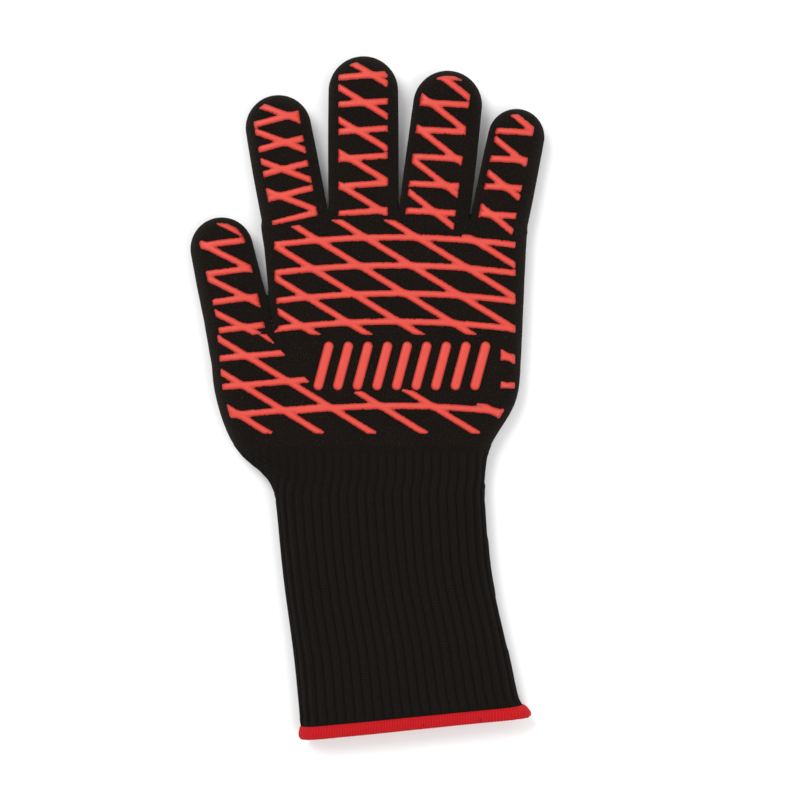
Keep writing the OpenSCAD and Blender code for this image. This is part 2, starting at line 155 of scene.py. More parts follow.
def sides(nodes, heights):
    """The leftmost and rightmost points of these pieces at each height."""
    starts, ends = [], []
    for name in nodes:
        mesh = frame["nodes"][name].data
        spots = np.array([v.co[:2] for v in mesh.vertices])
        links = np.array([e.vertices[:] for e in mesh.edges])
        starts.append(spots[links[:, 0]])
        ends.append(spots[links[:, 1]])
    a, b = np.concatenate(starts), np.concatenate(ends)
    found = []
    for y in heights:
        hit = (a[:, 1] <= y) != (b[:, 1] <= y)
        share = (y - a[hit, 1]) / (b[hit, 1] - a[hit, 1])
        x = a[hit, 0] + share * (b[hit, 0] - a[hit, 0])
        found.append((x.min(), x.max()))
    return np.array(found)


def ease(t):
    """0 below 0, 1 above 1, and a soft rise between them."""
    t = np.clip(t, 0, 1)
    return t * t * (3 - 2 * t)


def evened(values):
    """The same run of numbers with its corners eased, its ends kept."""
    values = values.copy()
    for _ in range(3):
        values[1:-1] = (values[:-2] + 2 * values[1:-1] + values[2:]) / 4
    return values


hem_corners = corners("cuff_hem")
hem_left, hem_right = hem_corners[:, 0].min(), hem_corners[:, 0].max()
hem_left_y = hem_corners[hem_corners[:, 0] < hem_left + 0.004, 1].min()
hem_right_y = hem_corners[hem_corners[:, 0] > hem_right - 0.004, 1].min()
knuckle_y = min(finger.root[1] for finger in fingers)

below = np.arange(hem_right_y + 0.001, crotch_y - 0.001, ROW_STEP)
above = np.arange(crotch_y + 0.002, knuckle_y - 0.001, ROW_STEP)
low_sides = sides(("cuff_hem", "cuff_shell", "palm_shell", "thumb_proximal_shell"), below)
high_sides = sides(("palm_shell",), above)
right = evened(np.concatenate([low_sides[:, 1], high_sides[:, 1]]))
left_low, left_high = evened(low_sides[:, 0]), evened(high_sides[:, 0])
rows = np.concatenate([below, above])

# Below the wrist the cuff leans a little to the far side as it lies
drop, fall = ease((-0.025 - below) / 0.03), ease((-0.075 - below) / 0.06)
left_low += 0.002 * drop + 0.0018 * fall
right[:len(below)] += 0.002 * drop + 0.0034 * fall
foot = hem_left_y - 0.02
outline = np.array(
    [(left_low[0], foot)] + list(zip(left_low, below)) + [(left_low[-1], crotch_y)]
    + [(crotch_x, crotch_y)] + list(zip(left_high, above))
    + [tuple(fingers[0].world(-fingers[0].root_radius, -0.002, 0)[:2])]
    + [tuple(f.world(f.root_radius, -0.002, 0)[:2]) for f in fingers]
    + list(zip(right[::-1], rows[::-1])) + [(right[0], foot)])


def palm_distance(points):
    """Plan distance to the outline of palm and cuff, negative inside."""
    x, y = points[:, 0], points[:, 1]
    nearest = np.full(len(points), 1e9)
    inside = np.zeros(len(points), bool)
    for a, b in zip(outline, np.roll(outline, -1, 0)):
        run = b - a
        away = points[:, :2] - a
        share = np.clip(away @ run / (run @ run), 0, 1)
        nearest = np.minimum(nearest, ((away - share[:, None] * run) ** 2).sum(1))
        if a[1] != b[1]:
            crosses = (a[1] > y) != (b[1] > y)
            inside ^= crosses & (x < a[0] + (y - a[1]) / run[1] * run[0])
    return np.where(inside, -1, 1) * np.sqrt(nearest)


def merged(a, b, softness):
    """The smaller of two distances, with a soft hollow where they meet."""
    share = np.clip(0.5 + 0.5 * (b - a) / softness, 0, 1)
    return b + (a - b) * share - softness * share * (1 - share)


def plan_distance(points, digits):
    """Plan distance to the edge of the palm with these digits on it."""
    distance = palm_distance(points)
    if digits:
        nearest = np.min([digit.distance(points) for digit in digits], 0)
        distance = merged(distance, nearest, CREASE_SOFTNESS)
    return distance


SLACK, SOFT_WAVE, FINE_WAVE = 0.0004, 0.00016, 0.00009


def half_height(points, distance):
    """Half the fabric's thickness: a low crown, and the soft unevenness of a used glove."""
    x, y = points[:, 0], points[:, 1]
    crown = CROWN_DROP * (1 - ease(-distance / CROWN_REACH))
    soft = np.sin(x * 95 + 1.3 * np.sin(y * 70)) + np.sin(y * 120 + 2 * np.sin(x * 60))
    fine = np.sin(x * 260 + y * 190) * np.sin(y * 240 - x * 90)
    return HALF_THICKNESS - SLACK - crown + SOFT_WAVE * soft + FINE_WAVE * fine


def rounded_slab(distance, half, z):
    """Distance to a slab with round edges, from its plan distance and half its height."""
    out = distance + EDGE_ROUND
    up = np.abs(z - MIDDLE_Z) - half + EDGE_ROUND
    corner = np.hypot(np.maximum(out, 0), np.maximum(up, 0))
    return np.minimum(np.maximum(out, up), 0) + corner - EDGE_ROUND


def fabric_field(points, digits):
    """Distance to the fabric's outer face, negative inside it."""
    distance = plan_distance(points, digits)
    return rounded_slab(distance, half_height(points, distance), points[:, 2])


def slope(field, points, step=0.0002):
    """How steeply a field rises in each direction."""
    columns = []
    for axis in range(points.shape[1]):
        shift = np.zeros(points.shape[1])
        shift[axis] = step
        columns.append((field(points + shift) - field(points - shift)) / (2 * step))
    return np.stack(columns, 1)


SKIN_STEP = 0.0013


def wrapped(digits, low, high):
    """Corners and four-sided faces of the skin round the fabric with these digits. The
    skin has one corner in each cell that the fabric's face crosses."""
    axes = [np.arange(low[k], high[k] + SKIN_STEP, SKIN_STEP) for k in range(3)]
    size = [len(axis) for axis in axes]
    gx, gy = np.meshgrid(axes[0], axes[1], indexing="ij")
    flat = np.stack([gx.ravel(), gy.ravel()], 1)
    distance = plan_distance(flat, digits)
    half = half_height(flat, distance)
    value = rounded_slab(distance[:, None], half[:, None], axes[2][None, :]).reshape(size)
    cells = [n - 1 for n in size]
    total, count = np.zeros(cells + [3]), np.zeros(cells)

    def shifted(offset):
        return tuple(slice(o, o + c) for o, c in zip(offset, cells))

    for axis in range(3):
        others = [k for k in range(3) if k != axis]
        for i in (0, 1):
            for j in (0, 1):
                start = [0, 0, 0]
                start[others[0]], start[others[1]] = i, j
                end = list(start)
                end[axis] = 1
                a, b = value[shifted(start)], value[shifted(end)]
                hit = (a < 0) != (b < 0)
                share = np.where(hit, a / np.where(hit, a - b, 1), 0)
                spot = np.zeros(cells + [3]) + np.array(start)
                spot[..., axis] += share
                total += spot * hit[..., None]
                count += hit
    used = count > 0
    number = np.full(cells, -1)
    number[used] = np.arange(used.sum())
    base = np.argwhere(used)
    points = (base + total[used] / count[used][:, None]) * SKIN_STEP + np.array(low)
    faces = []
    for axis in range(3):
        b, c = (axis + 1) % 3, (axis + 2) % 3
        first = np.take(value, range(size[axis] - 1), axis)
        second = np.take(value, range(1, size[axis]), axis)
        for i, j, k in np.argwhere((first < 0) != (second < 0)):
            spot = [i, j, k]
            if spot[b] == 0 or spot[c] == 0 or spot[b] >= cells[b] or spot[c] >= cells[c]:
                continue
            loop = []
            for db, dc in ((1, 1), (0, 1), (0, 0), (1, 0)):
                at = list(spot)
                at[b] -= db
                at[c] -= dc
                loop.append(number[tuple(at)])
            if value[i, j, k] >= 0:
                loop.reverse()
            faces.append(loop)
    for _ in range(3):
        steep = slope(lambda p: fabric_field(p, digits), points)
        points -= fabric_field(points, digits)[:, None] * steep / (steep ** 2).sum(1)[:, None]
    return points, np.array(faces)


def solid_mesh(name, points, faces):
    """A smooth mesh from corners and four-sided faces, without unused corners."""
    used, renumbered = np.unique(faces, return_inverse=True)
    mesh = bpy.data.meshes.new(name)
    mesh.from_pydata(points[used].tolist(), [], renumbered.reshape(faces.shape).tolist())
    mesh.polygons.foreach_set("use_smooth", [True] * len(mesh.polygons))
    return mesh


def spots_of(mesh):
    """Every corner of a mesh, as one array."""
    flat = np.zeros(len(mesh.vertices) * 3)
    mesh.vertices.foreach_get("co", flat)
    return flat.reshape(-1, 3)


def trimmed(name, points, faces, near, cuts, keep):
    """The part of a skin that keep() holds, cut cleanly along planes. Each cut is a spot,
    its direction, and a test for the faces that it may divide."""
    mesh = solid_mesh(name, points, faces[near(points[faces].mean(1))])
    shape = bmesh.new()
    shape.from_mesh(mesh)
    for spot, direction, test in cuts:
        middles = np.array([f.calc_center_median()[:] for f in shape.faces])
        chosen = [f for f, hit in zip(list(shape.faces), test(middles)) if hit]
        linked = {e for f in chosen for e in f.edges} | {v for f in chosen for v in f.verts}
        bmesh.ops.bisect_plane(shape, geom=chosen + list(linked), dist=1e-7,
                               plane_co=spot, plane_no=direction)
    middles = np.array([f.calc_center_median()[:] for f in shape.faces])
    lost = [f for f, kept in zip(list(shape.faces), keep(middles)) if not kept]
    bmesh.ops.delete(shape, geom=lost, context="FACES")
    shape.to_mesh(mesh)
    shape.free()
    return mesh


def knit_place(points, digits, digit=None):
    """Where each point lies on the flat knit: along the rows, up the hand, and its face."""
    spots = points[:, :2]
    distance = plan_distance(spots, digits)
    steep = slope(lambda p: plan_distance(p, digits), spots, 0.0006)
    steep /= np.maximum(np.linalg.norm(steep, axis=1), 1e-6)[:, None]
    out = np.maximum(distance + EDGE_ROUND, 0)
    up = np.abs(points[:, 2] - MIDDLE_Z) - half_height(spots, distance) + EDGE_ROUND
    turn = np.arctan2(out, np.maximum(up, 1e-6))
    spread = spots + steep * (EDGE_ROUND * turn - out)[:, None]
    place = spread.copy()
    for other in ([digit] if digit else fingers):
        x, y = other.own(spread).T
        mine = np.abs(x) < other.root_radius if digit is None else np.ones(len(x), bool)
        share = ease((y + 0.016) / 0.03) * mine
        turned = np.stack([x + other.root[0], y + other.root[1]], 1)
        place += (turned - spread) * share[:, None]
    face = np.where(points[:, 2] > MIDDLE_Z, 1.0, -1.0)
    return np.column_stack([place, face])


def add_places(mesh, values):
    """Stores a vector at each corner of a mesh, for its material to read."""
    stored = mesh.attributes.new("knit", "FLOAT_VECTOR", "POINT")
    stored.data.foreach_set("vector", np.asarray(values, np.float32).ravel())


def add_object(name, mesh, material):
    """Puts a mesh into the scene with its material."""
    piece = bpy.data.objects.new(name, mesh)
    bpy.context.scene.collection.objects.link(piece)
    mesh.materials.append(material)
    return piece


class Value:
    """A number in a material. A sum on it adds one Math node to the material."""

    def __init__(self, recipe, socket):
        self.recipe, self.socket = recipe, socket

    def _math(self, operation, *operands):
        settings = {"operation": operation}
        return self.recipe.node("ShaderNodeMath", settings, dict(enumerate(operands)))["Value"]

    def __add__(self, other):
        return self._math("ADD", self, other)

    def __sub__(self, other):
        return self._math("SUBTRACT", self, other)

    def __rsub__(self, other):
        return self._math("SUBTRACT", other, self)

    def __mul__(self, other):
        return self._math("MULTIPLY", self, other)

    def __truediv__(self, other):
        return self._math("DIVIDE", self, other)

    __radd__ = __add__
    __rmul__ = __mul__

    def fraction(self):
        return self._math("FRACT", self)

    def size(self):
        return self._math("ABSOLUTE", self)

    def sine(self):
        return self._math("SINE", self)

    def eased(self, low, high):
        """0 below low, 1 above high, and a soft rise between them."""
        settings = {"interpolation_type": "SMOOTHSTEP"}
        links = {"Value": self, "From Min": low, "From Max": high}
        return self.recipe.node("ShaderNodeMapRange", settings, links)["Result"]


class Outputs:
    """A node that was added: its outputs are read by name or number."""

    def __init__(self, recipe, node):
        self.recipe, self.node_made = recipe, node

    def __getitem__(self, name):
        return Value(self.recipe, self.node_made.outputs[name])


class Recipe:
    """A material that is built node by node."""

    def __init__(self, name):
        self.material = bpy.data.materials.new(name)
        self.material.use_nodes = True
        self.tree = self.material.node_tree
        self.finish = self.tree.nodes["Principled BSDF"]

    def node(self, kind, settings, links):
        """Adds a node: its settings first, then the numbers or links of its sockets."""
        made = self.tree.nodes.new(kind)
        for key, setting in settings.items():
            setattr(made, key, setting)
        for key, value in links.items():
            self.connect(made.inputs[key], value)
        return Outputs(self, made)

    def connect(self, socket, value):
        """Links a value to a socket, or sets the socket to a constant."""
        if isinstance(value, Value):
            self.tree.links.new(value.socket, socket)
        else:
            socket.default_value = value

    def blend(self, share, first, second):
        """A colour between two others."""
        links = {0: share, 6: first, 7: second}
        return self.node("ShaderNodeMix", {"data_type": "RGBA"}, links)[2]

    def noise(self, place, scale, detail=3.0):
        """Uneven grey, from 0 to 1, finer with a higher scale."""
        links = {"Vector": place, "Scale": scale, "Detail": detail}
        return self.node("ShaderNodeTexNoise", {}, links)["Fac"]

    def surface(self, **sockets):
        """Sets the finish. Underscores stand for the spaces of a socket's name."""
        for key, value in sockets.items():
            self.connect(self.finish.inputs[key.replace("_", " ")], value)

    def relief(self, height, depth, strength=1.0):
        """Fine relief, as deep as depth."""
        links = {"Height": height, "Distance": depth, "Strength": strength}
        self.surface(Normal=self.node("ShaderNodeBump", {}, links)["Normal"])


# Plain knit: columns of V-shaped loops, matt, with a thin haze of fibre ends
WALE, COURSE = 0.00155, 0.0012
LOOP_DEPTH = 0.00035
# The yarn's colour runs from YARN_DARK to YARN_LIGHT partly by the stitch's height, which is painted
# shade between the loops, and partly by fibre and patches of the yarn's own tone.
YARN_DARK, YARN_LIGHT = (0.0004, 0.0002, 0.0001, 1), (0.0145, 0.0094, 0.006, 1)
LINT = (0.035, 0.029, 0.024, 1)


def knit_recipe(name, wale, course, dark, light, lint, depth, rib_hollow_shade=0.0):
    """A knitted face. Its loops follow the stored place on the knit, and its colour is painted
    lighter on the raised loops and darker between them, painted shade; the last argument paints
    shade into the hollows between ribs."""
    recipe = Recipe(name)
    place = recipe.node("ShaderNodeAttribute", {"attribute_name": "knit"}, {})["Vector"]
    parts = recipe.node("ShaderNodeSeparateXYZ", {}, {"Vector": place})
    wander = recipe.noise(place, 380, 1.0) * 0.5
    column = ((parts["X"] / wale + wander).fraction() * 2 - 1).size()
    leg = (column * math.pi).sine()
    loop = ((parts["Y"] / course - column * 0.62) * (2 * math.pi)).sine() * 0.5 + 0.5
    stitch = (0.25 + leg * 0.75) * (0.62 + loop * 0.38)
    fibre = recipe.noise(place, 1500, 3.0).eased(0.3, 0.72)
    patch = recipe.noise(place, 55, 2.0)
    # Painted shade: the stitch's height lightens the raised loops and darkens the hollows between
    # them; fibre and patch are the yarn's own tone.
    shade = stitch * 0.5 + fibre * 0.6 + patch * 0.3 - 0.3
    # Painted shade in the hollows between ribs, where the stored rib height is low.
    if rib_hollow_shade:
        shade = shade * (1 - rib_hollow_shade + parts["Z"] * rib_hollow_shade)
    yarn = recipe.blend(shade, dark, light)
    flecks = recipe.noise(place, 1150, 2.0).eased(0.62, 0.72) * fibre
    recipe.surface(Base_Color=recipe.blend(flecks, yarn, lint), Roughness=0.93,
                   Sheen_Weight=0.05, Sheen_Roughness=0.5,
                   Sheen_Tint=(0.5, 0.45, 0.42, 1), Specular_IOR_Level=0.08)
    recipe.relief(stitch + fibre * 0.35, depth)
    return recipe


knit = knit_recipe("black_plain_knit", WALE, COURSE, YARN_DARK, YARN_LIGHT, LINT, LOOP_DEPTH)

# The corners of the space that the hand's fabric lies in
low = (cad_bounds[0].x - 0.003, CUFF_TOP - 0.004, FABRIC_LOW - 0.002)
high = (cad_bounds[1].x + 0.003, cad_bounds[1].y + 0.003, FABRIC_HIGH + 0.002)
every_digit = fingers + [thumb]


def past_crease(points):
    return (points[:, :2] - crease_spot) @ crease_out > 0


def on_thumb_side(points):
    """True for what lies on the thumb, past its root crease."""
    beside = points[:, 0] < crotch_x + 0.0003
    nearer = thumb.distance(points) < plan_distance(points, fingers)
    nearer &= points[:, 0] < crotch_x + 0.004
    return np.where(points[:, 1] < crotch_y, past_crease(points) & beside, nearer)


def finger_of(points):
    """The number of the finger whose strip each point lies in."""
    away = [np.abs(f.own(points)[:, 0]) - f.root_radius for f in fingers]
    return np.argmin(away, 0)


def past_knuckle(points):
    """True for what lies past the line where the fingers are cut from the palm."""
    heights = np.array([f.own(points)[:, 1] for f in fingers])
    return heights[finger_of(points), np.arange(len(points))] > KNUCKLE_CUT


def level(digit, height):
    """A plane across a digit: its spot and its direction."""
    return digit.world(0, height, MIDDLE_Z), (*digit.along, 0)


crease_plane = ((*crease_spot, MIDDLE_Z), (*crease_out, 0))


def near_crease(points):
    """True on the thumb's side of the hand, up to the crotch."""
    return (points[:, 0] < crotch_x + 0.0015) & (points[:, 1] < crotch_y + 0.001)


palm_cuts = [((0, CUFF_TOP, 0), (0, 1, 0), lambda p: p[:, 1] < CUFF_TOP + 0.003),
             (*crease_plane, near_crease)]
for number, finger in enumerate(fingers):
    palm_cuts.append((*level(finger, KNUCKLE_CUT),
                      lambda p, n=number: (finger_of(p) == n) & (p[:, 1] > knuckle_y - 0.01)))


def on_palm(points):
    """True for what belongs to the palm, past none of its creases."""
    kept = ~past_knuckle(points) & ~on_thumb_side(points)
    return kept & (points[:, 1] > CUFF_TOP)


def round_normals(mesh, digits):
    """Gives the mesh the whole fabric's own smoothness, so that no join shows."""
    steep = slope(lambda p: fabric_field(p, digits), spots_of(mesh), 0.00025)
    steep /= np.linalg.norm(steep, axis=1)[:, None]
    mesh.normals_split_custom_set_from_vertices(steep.tolist())


def everywhere(points):
    return np.ones(len(points), bool)


def fabric_piece(name, skin, digits, near, cuts, keep, digit=None):
    """One piece of the knitted hand, cut from a skin, with its place on the knit."""
    mesh = trimmed(name, *skin, near, cuts, keep)
    add_places(mesh, knit_place(spots_of(mesh), digits, digit))
    round_normals(mesh, digits)
    piece = add_object(name, mesh, knit.material)
    return piece


whole_skin = wrapped(every_digit, low, high)
palm = fabric_piece("palm_fabric", whole_skin, every_digit, everywhere, palm_cuts, on_palm)
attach(palm, "palm")
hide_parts("palm_shell")

# ----------------------------------------------
# Fingers: the same knit, a closed tube each, touching their neighbours at the root. Each
# is made in three lengths that meet where neither bends. The cotton liner is knitted in and
# lies inside.
# ----------------------------------------------
SEAM_BACK = 0.0045
BEND_FROM, BEND_TO = -0.004, 0.010
ROOT_BEND = (KNUCKLE_CUT + 0.0003, 0.0125)


def digit_lengths(digit):
    """For each length of the digit: its name, where it starts and ends, the two bodies
    that it joins, and where the turn between them starts and ends."""
    folds = [digit.fold_height(f"{digit.name}_{part}_fold") for part in digit.phalanges[1:]]
    starts = [KNUCKLE_CUT] + [fold - SEAM_BACK for fold in folds]
    ends = starts[1:] + [digit.length + 0.01]
    bodies = ["palm"] + [f"{digit.name}_{part}" for part in digit.phalanges]
    turns = [ROOT_BEND] + [(fold + BEND_FROM, fold + BEND_TO) for fold in folds]
    return [(digit.phalanges[k], starts[k], ends[k], bodies[k], bodies[k + 1], turns[k])
            for k in range(len(digit.phalanges))]


def on_length(digit, start, end):
    """A test for what lies on this length of a digit."""
    def keep(points):
        x, y = digit.own(points).T
        return (y > start) & (y < end) & (np.abs(x) < digit.root_radius + 0.0015)
    return keep


def near_length(digit, start, end):
    """A test for what lies on this length of a digit or close to it."""
    def near(points):
        x, y = digit.own(points).T
        return (y > start - 0.004) & (y < end + 0.004) & (np.abs(x) < digit.root_radius + 0.002)
    return near


def end_cuts(digit, start, end):
    """The cuts at both ends of a length."""
    return [(*level(digit, start), everywhere), (*level(digit, end), everywhere)]


def turn_between(piece, digit, turn):
    """Bakes the piece's place into its mesh."""
    digit.world(0, turn[0], MIDDLE_Z)
    digit.world(0, turn[1], MIDDLE_Z)
    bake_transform(piece)


for pair in ((fingers[0], fingers[2]), (fingers[1], fingers[3])):
    pair_low = (low[0], knuckle_y - 0.008, low[2])
    skin = wrapped(list(pair), pair_low, high)
    for finger in pair:
        for part, start, end, parent, body, turn in digit_lengths(finger):
            piece = fabric_piece(
                f"{finger.name}_{part}_fabric", skin, list(pair), near_length(finger, start, end),
                end_cuts(finger, start, end), on_length(finger, start, end), finger)
            turn_between(piece, finger, turn)
            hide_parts(f"{finger.name}_{part}_shell", f"{finger.name}_{part}_liner")

# ----------------------------------------------
# Thumb: the same knit, set on the side of the palm. Its root is cut along a crease that
# slants from the outer edge up to the crotch.
# ----------------------------------------------
WEB_HIDDEN = 0.0004
thumb_fold = thumb.fold_height("thumb_tip_fold")
thumb_seam = thumb_fold - SEAM_BACK
thumb_bend = (thumb_fold + BEND_FROM, thumb_fold + BEND_TO)
thumb_skin = wrapped([thumb], (low[0], 0.0, low[2]),
                     (crotch_x + 0.012, high[1] - 0.06, high[2]))


def below_seam(points):
    """True for what lies on the thumb's first length."""
    return thumb.own(points)[:, 1] < thumb_seam


def under_web(points):
    """True for what the web between thumb and palm covers while the thumb lies flat."""
    near = (points[:, 1] < crotch_y + 0.012) & (points[:, 0] > crotch_x - 0.012)
    return near & (fabric_field(points, every_digit) < -WEB_HIDDEN)


thumb_root = fabric_piece(
    "thumb_proximal_fabric", thumb_skin, [thumb], lambda p: p[:, 0] < crotch_x + 0.011,
    [(*crease_plane, near_crease), (*level(thumb, thumb_seam), everywhere)],
    lambda p: (on_thumb_side(p) | under_web(p) & past_crease(p)) & below_seam(p))
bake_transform(thumb_root)
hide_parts("thumb_proximal_shell", "thumb_proximal_liner")

# The palm's own side under the web, which shows only when the thumb is bent
web_skin = wrapped(fingers, (crotch_x - 0.014, crotch_y - 0.03, low[2]),
                   (crotch_x + 0.012, crotch_y + 0.014, high[2]))
web = fabric_piece("palm_web_fabric", web_skin, fingers, everywhere, [], under_web)
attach(web, "palm")

thumb_tip = fabric_piece(
    "thumb_tip_fabric", thumb_skin, [thumb], lambda p: p[:, 0] < crotch_x + 0.004,
    [(*level(thumb, thumb_seam), everywhere)], lambda p: on_thumb_side(p) & ~below_seam(p))
turn_between(thumb_tip, thumb, thumb_bend)
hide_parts("thumb_tip_shell", "thumb_tip_liner")

# ----------------------------------------------
# Cuff: a long gauntlet in rib knit, which draws in at the wrist and widens to its mouth.
# The ribs are real ridges that start just under the palm and run to the hem.
# ----------------------------------------------
RIB_PITCH, RIB_DEPTH = 0.00427, 0.0012
CURL_OUT, CURL_HEIGHT, CURL_FROM = 0.004, 0.011, 0.056
NECK_SHARE = 0.2
STEPS_PER_RIB = 8
CUFF_ROWS = 62
EDGE_SAMPLES, RING_SAMPLES = 700, 500
hem_slope = (hem_right_y - hem_left_y) / (hem_right - hem_left)


def hem_height(x):
    """Height of the hem's lower edge, which slants up to the far side."""
    return hem_left_y + (x - hem_left) * hem_slope


def curled(points):
    """The same points with the far end of the mouth curling outward."""
    up = points[:, 1] - hem_height(points[:, 0])
    share = ease(1 - up / CURL_HEIGHT) ** 1.5 * ease((points[:, 0] - CURL_FROM) / 0.018)
    return points + share[:, None] * np.array([CURL_OUT, 0, 0])


def cuff_ring(share, count, inset=0.0):
    """Evenly spaced points round the tube, from the left edge over the front and back under
    it. share runs from 0 at the top of the cuff to 1 at its hem."""
    x = np.linspace(cad_bounds[0].x - 0.004, cad_bounds[1].x + 0.004, EDGE_SAMPLES)

    def spots(x):
        return np.stack([x, CUFF_TOP + share * (hem_height(x) - CUFF_TOP)], 1)

    distance = plan_distance(spots(x), every_digit) + inset
    inside = np.flatnonzero(distance < 0)
    a, b = inside[0], inside[-1]
    left = np.interp(0, [distance[a], distance[a - 1]], [x[a], x[a - 1]])
    right_end = np.interp(0, [distance[b], distance[b + 1]], [x[b], x[b + 1]])
    swing = (1 - np.cos(np.linspace(0, math.pi, RING_SAMPLES))) / 2
    x = left + (right_end - left) * swing
    flat = spots(x)
    distance = plan_distance(flat, every_digit) + inset
    reach = max(EDGE_ROUND - inset, 0.001)
    half = half_height(flat, distance) - inset - reach
    bulge = np.sqrt(np.maximum(reach ** 2 - np.maximum(distance + reach, 0) ** 2, 0))
    half = np.where(distance < -1e-6, half, 0) + bulge
    front = np.column_stack([flat, MIDDLE_Z + half])
    back = np.column_stack([flat, MIDDLE_Z - half])
    path = np.concatenate([front, back[::-1][1:-1]])
    closed = np.concatenate([path, path[:1]])
    length = np.concatenate([[0], np.cumsum(np.linalg.norm(np.diff(closed, axis=0), axis=1))])
    at = np.linspace(0, length[-1], count, endpoint=False)
    ring = np.stack([np.interp(at, length, closed[:, k]) for k in range(3)], 1)
    return curled(ring), length[-1]


def outward(rings):
    """Direction straight out of a tube at each point of its rings."""
    round_it = np.roll(rings, -1, 1) - np.roll(rings, 1, 1)
    down_it = np.gradient(rings, axis=0)
    out = np.cross(down_it, round_it)
    out /= np.maximum(np.linalg.norm(out, axis=2), 1e-9)[..., None]
    middle = rings.mean(1, keepdims=True)
    flip = np.sign(((rings - middle) * out).sum(2).mean())
    return out * flip


def tube_faces(rows_made, count, flip=False):
    """Faces of a tube of closed rings."""
    i, j = np.meshgrid(np.arange(rows_made - 1), np.arange(count), indexing="ij")
    k = (j + 1) % count
    quads = np.stack([i * count + j, i * count + k, (i + 1) * count + k, (i + 1) * count + j], -1)
    quads = quads.reshape(-1, 4)
    return quads if flip else quads[:, ::-1]


_, neck_round = cuff_ring(NECK_SHARE, 40)
rib_count = round(neck_round / RIB_PITCH)
around = rib_count * STEPS_PER_RIB
# The first ring only gives the others their slope; the second is tucked under the palm
shares = np.concatenate([[-0.012, -0.004], np.linspace(0, 0.985, CUFF_ROWS - 1)])
rings = np.array([cuff_ring(share, around, 0.0002 * (share < 0))[0] for share in shares])
out = outward(rings)
round_phase = np.arange(around) / STEPS_PER_RIB
neck_row = int(np.argmin(np.abs(shares - NECK_SHARE)))
neck_left = knit_place(rings[neck_row][:1], every_digit)[0, 0]
phase = np.tile(round_phase, (len(rings), 1))
for row in range(neck_row):
    straight = (knit_place(rings[row], every_digit)[:, 0] - neck_left) / RIB_PITCH
    straight = np.where(rings[row][:, 2] > MIDDLE_Z, straight, rib_count - straight)
    share = ease((NECK_SHARE - shares[row]) / 0.1)
    phase[row] += share * (straight - round_phase)
RIDGE_MIDDLE = 0.62
ridge = np.abs(np.sin(math.pi * phase)) ** 0.7 - RIDGE_MIDDLE
heights = rings[..., 1]
depth = RIB_DEPTH * ease((CUFF_TOP - 0.0005 - heights) / 0.006)
depth = depth * (1 - 0.9 * ease((hem_height(rings[..., 0]) + 0.0095 - heights) / 0.0045))
rings = rings + out * (ridge * depth)[..., None]
away = outward(rings)
rings, away, depth, ridge, phase = (run[1:] for run in (rings, away, depth, ridge, phase))
cuff_mesh = solid_mesh("cuff_fabric", rings.reshape(-1, 3), tube_faces(CUFF_ROWS, around))
# The rib's height is stored for the material, which paints shade into the hollows between ribs.
rib_top = ridge * depth / RIB_DEPTH + RIDGE_MIDDLE
add_places(cuff_mesh, np.stack([phase * RIB_PITCH, rings[..., 1], rib_top], -1).reshape(-1, 3))
cuff_mesh.normals_split_custom_set_from_vertices(away.reshape(-1, 3).tolist())

# The rib knit's colour is painted darker between its loops and in the hollows between its ribs:
# painted shade.
RIB_DARK, RIB_LIGHT = (0.0003, 0.0002, 0.0001, 1), (0.0155, 0.0102, 0.0068, 1)
rib = knit_recipe("black_rib_knit", RIB_PITCH / 3, 0.0014, RIB_DARK, RIB_LIGHT, LINT, 0.0005,
                  rib_hollow_shade=0.85)


def turn_at_wrist(piece):
    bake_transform(piece)


cuff = add_object("cuff_fabric", cuff_mesh, rib.material)
turn_at_wrist(cuff)
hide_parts("cuff_shell")

# ----------------------------------------------
# Liner: soft natural cotton jersey inside the whole glove. It shows at the mouth of the
# cuff, where the hem catches its edge, and runs on into the palm.
# ----------------------------------------------
LINER_INSET = 0.0023
LINER_AROUND = 180
PALM_LINER_END = 0.045
# The jersey's colour is painted lighter on its raised loops and darker between them: painted shade.
COTTON_DARK, COTTON_LIGHT = (0.42, 0.36, 0.27, 1), (0.78, 0.72, 0.6, 1)
COTTON_LINT = (0.86, 0.82, 0.74, 1)
cotton = knit_recipe("natural_cotton_jersey", 0.0013, 0.0011, COTTON_DARK, COTTON_LIGHT,
                     COTTON_LINT, 0.00022)


def liner_piece(name, made_rings):
    """A piece of the liner from its rings, with its face towards the hand."""
    made = np.array(made_rings)
    count = made.shape[1]
    mesh = solid_mesh(name, made.reshape(-1, 3), tube_faces(len(made), count, flip=True))
    step = np.linalg.norm(made[0, 1] - made[0, 0])
    s = np.broadcast_to(np.arange(count) * step, made.shape[:2])
    add_places(mesh, np.stack([s, made[..., 1], made[..., 2]], -1).reshape(-1, 3))
    piece = add_object(name, mesh, cotton.material)
    return piece


cuff_liner = liner_piece("cuff_liner_jersey", [
    cuff_ring(share, LINER_AROUND, LINER_INSET)[0] for share in np.linspace(0, 0.995, 46)])
turn_at_wrist(cuff_liner)
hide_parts("cuff_liner")

reach_in = (PALM_LINER_END - CUFF_TOP) / (CUFF_TOP - hem_left_y)
inner_rings = []
for share in np.linspace(0, 1, 24):
    ring, _ = cuff_ring(-share * reach_in, LINER_AROUND, LINER_INSET + 0.0035 * share)
    middle = ring.mean(0)
    close = 1 - 0.97 * ease((share - 0.7) / 0.3)
    inner_rings.append(middle + (ring - middle) * np.array([1 - 0.3 * (1 - close), 1, close]))
palm_liner = liner_piece("palm_liner_jersey", inner_rings)
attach(palm_liner, "palm")
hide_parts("palm_liner")

